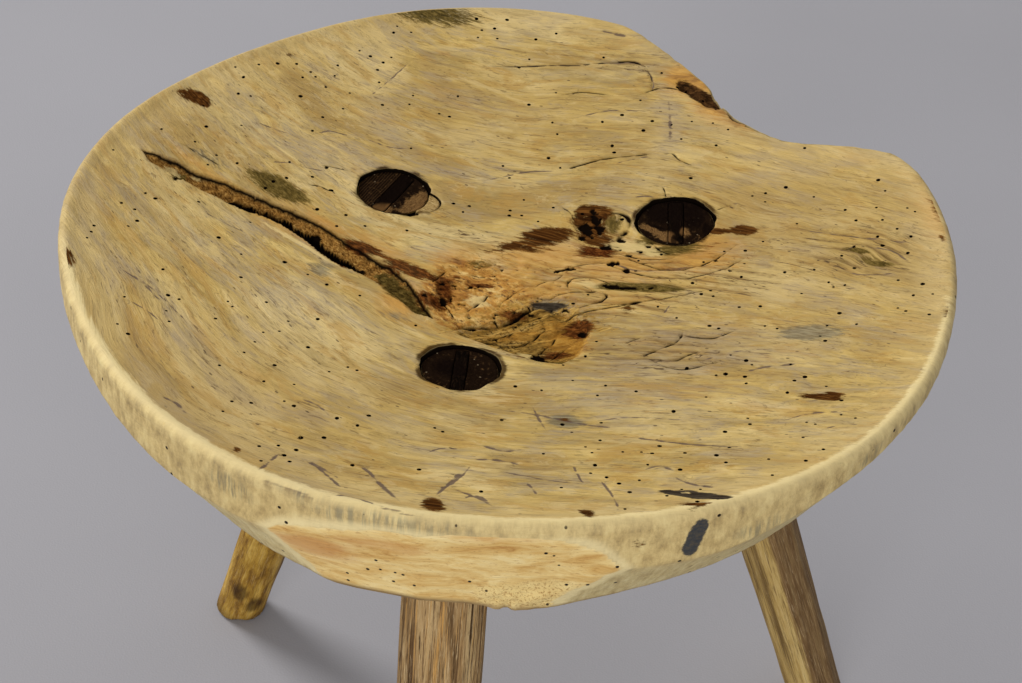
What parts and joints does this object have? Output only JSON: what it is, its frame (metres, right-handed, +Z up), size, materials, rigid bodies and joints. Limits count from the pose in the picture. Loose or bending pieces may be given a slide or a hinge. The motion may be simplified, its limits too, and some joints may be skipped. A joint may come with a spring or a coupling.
{
  "type": "milking stool",
  "caption": "Rustic milking stool: round dished slab seat with a bay in its rim, on splayed legs held by wedged through tenons.",
  "frame": {"origin": "middle of the bounding box's floor, on the surface that the feet stand on", "axes": "+Z up, -Y towards the leg at the front of the picture, +X to its right"},
  "size_m": [0.3608, 0.36, 0.31],
  "materials": {
    "seat_wood": "worn pale honey wood with grey-mauve streaks, woodworm holes, drying splits and a rough reddish heart; soft low sheen on the rim",
    "leg_left_wood": "round peeled branch, golden brown with dark knot marks, rubbed smooth",
    "leg_right_wood": "split billet, pale sapwood on one side and dark brown heartwood on the other, dry open grain",
    "leg_front_wood": "weathered grey-brown hewn wood with fine open lengthwise grain",
    "wedge_wood": "end grain and wedges blackened by dirt and age",
    "shim_wood": "pale split sliver, crushed edges"
  },
  "bodies": {
    "root": {"seat": "seat_wood", "leg_left": "leg_left_wood", "leg_right": "leg_right_wood", "leg_front": "leg_front_wood", "wedge_left": "wedge_wood", "wedge_right": "wedge_wood", "wedge_front": "wedge_wood", "shim_left": "shim_wood"}
  },
  "joints": []
}
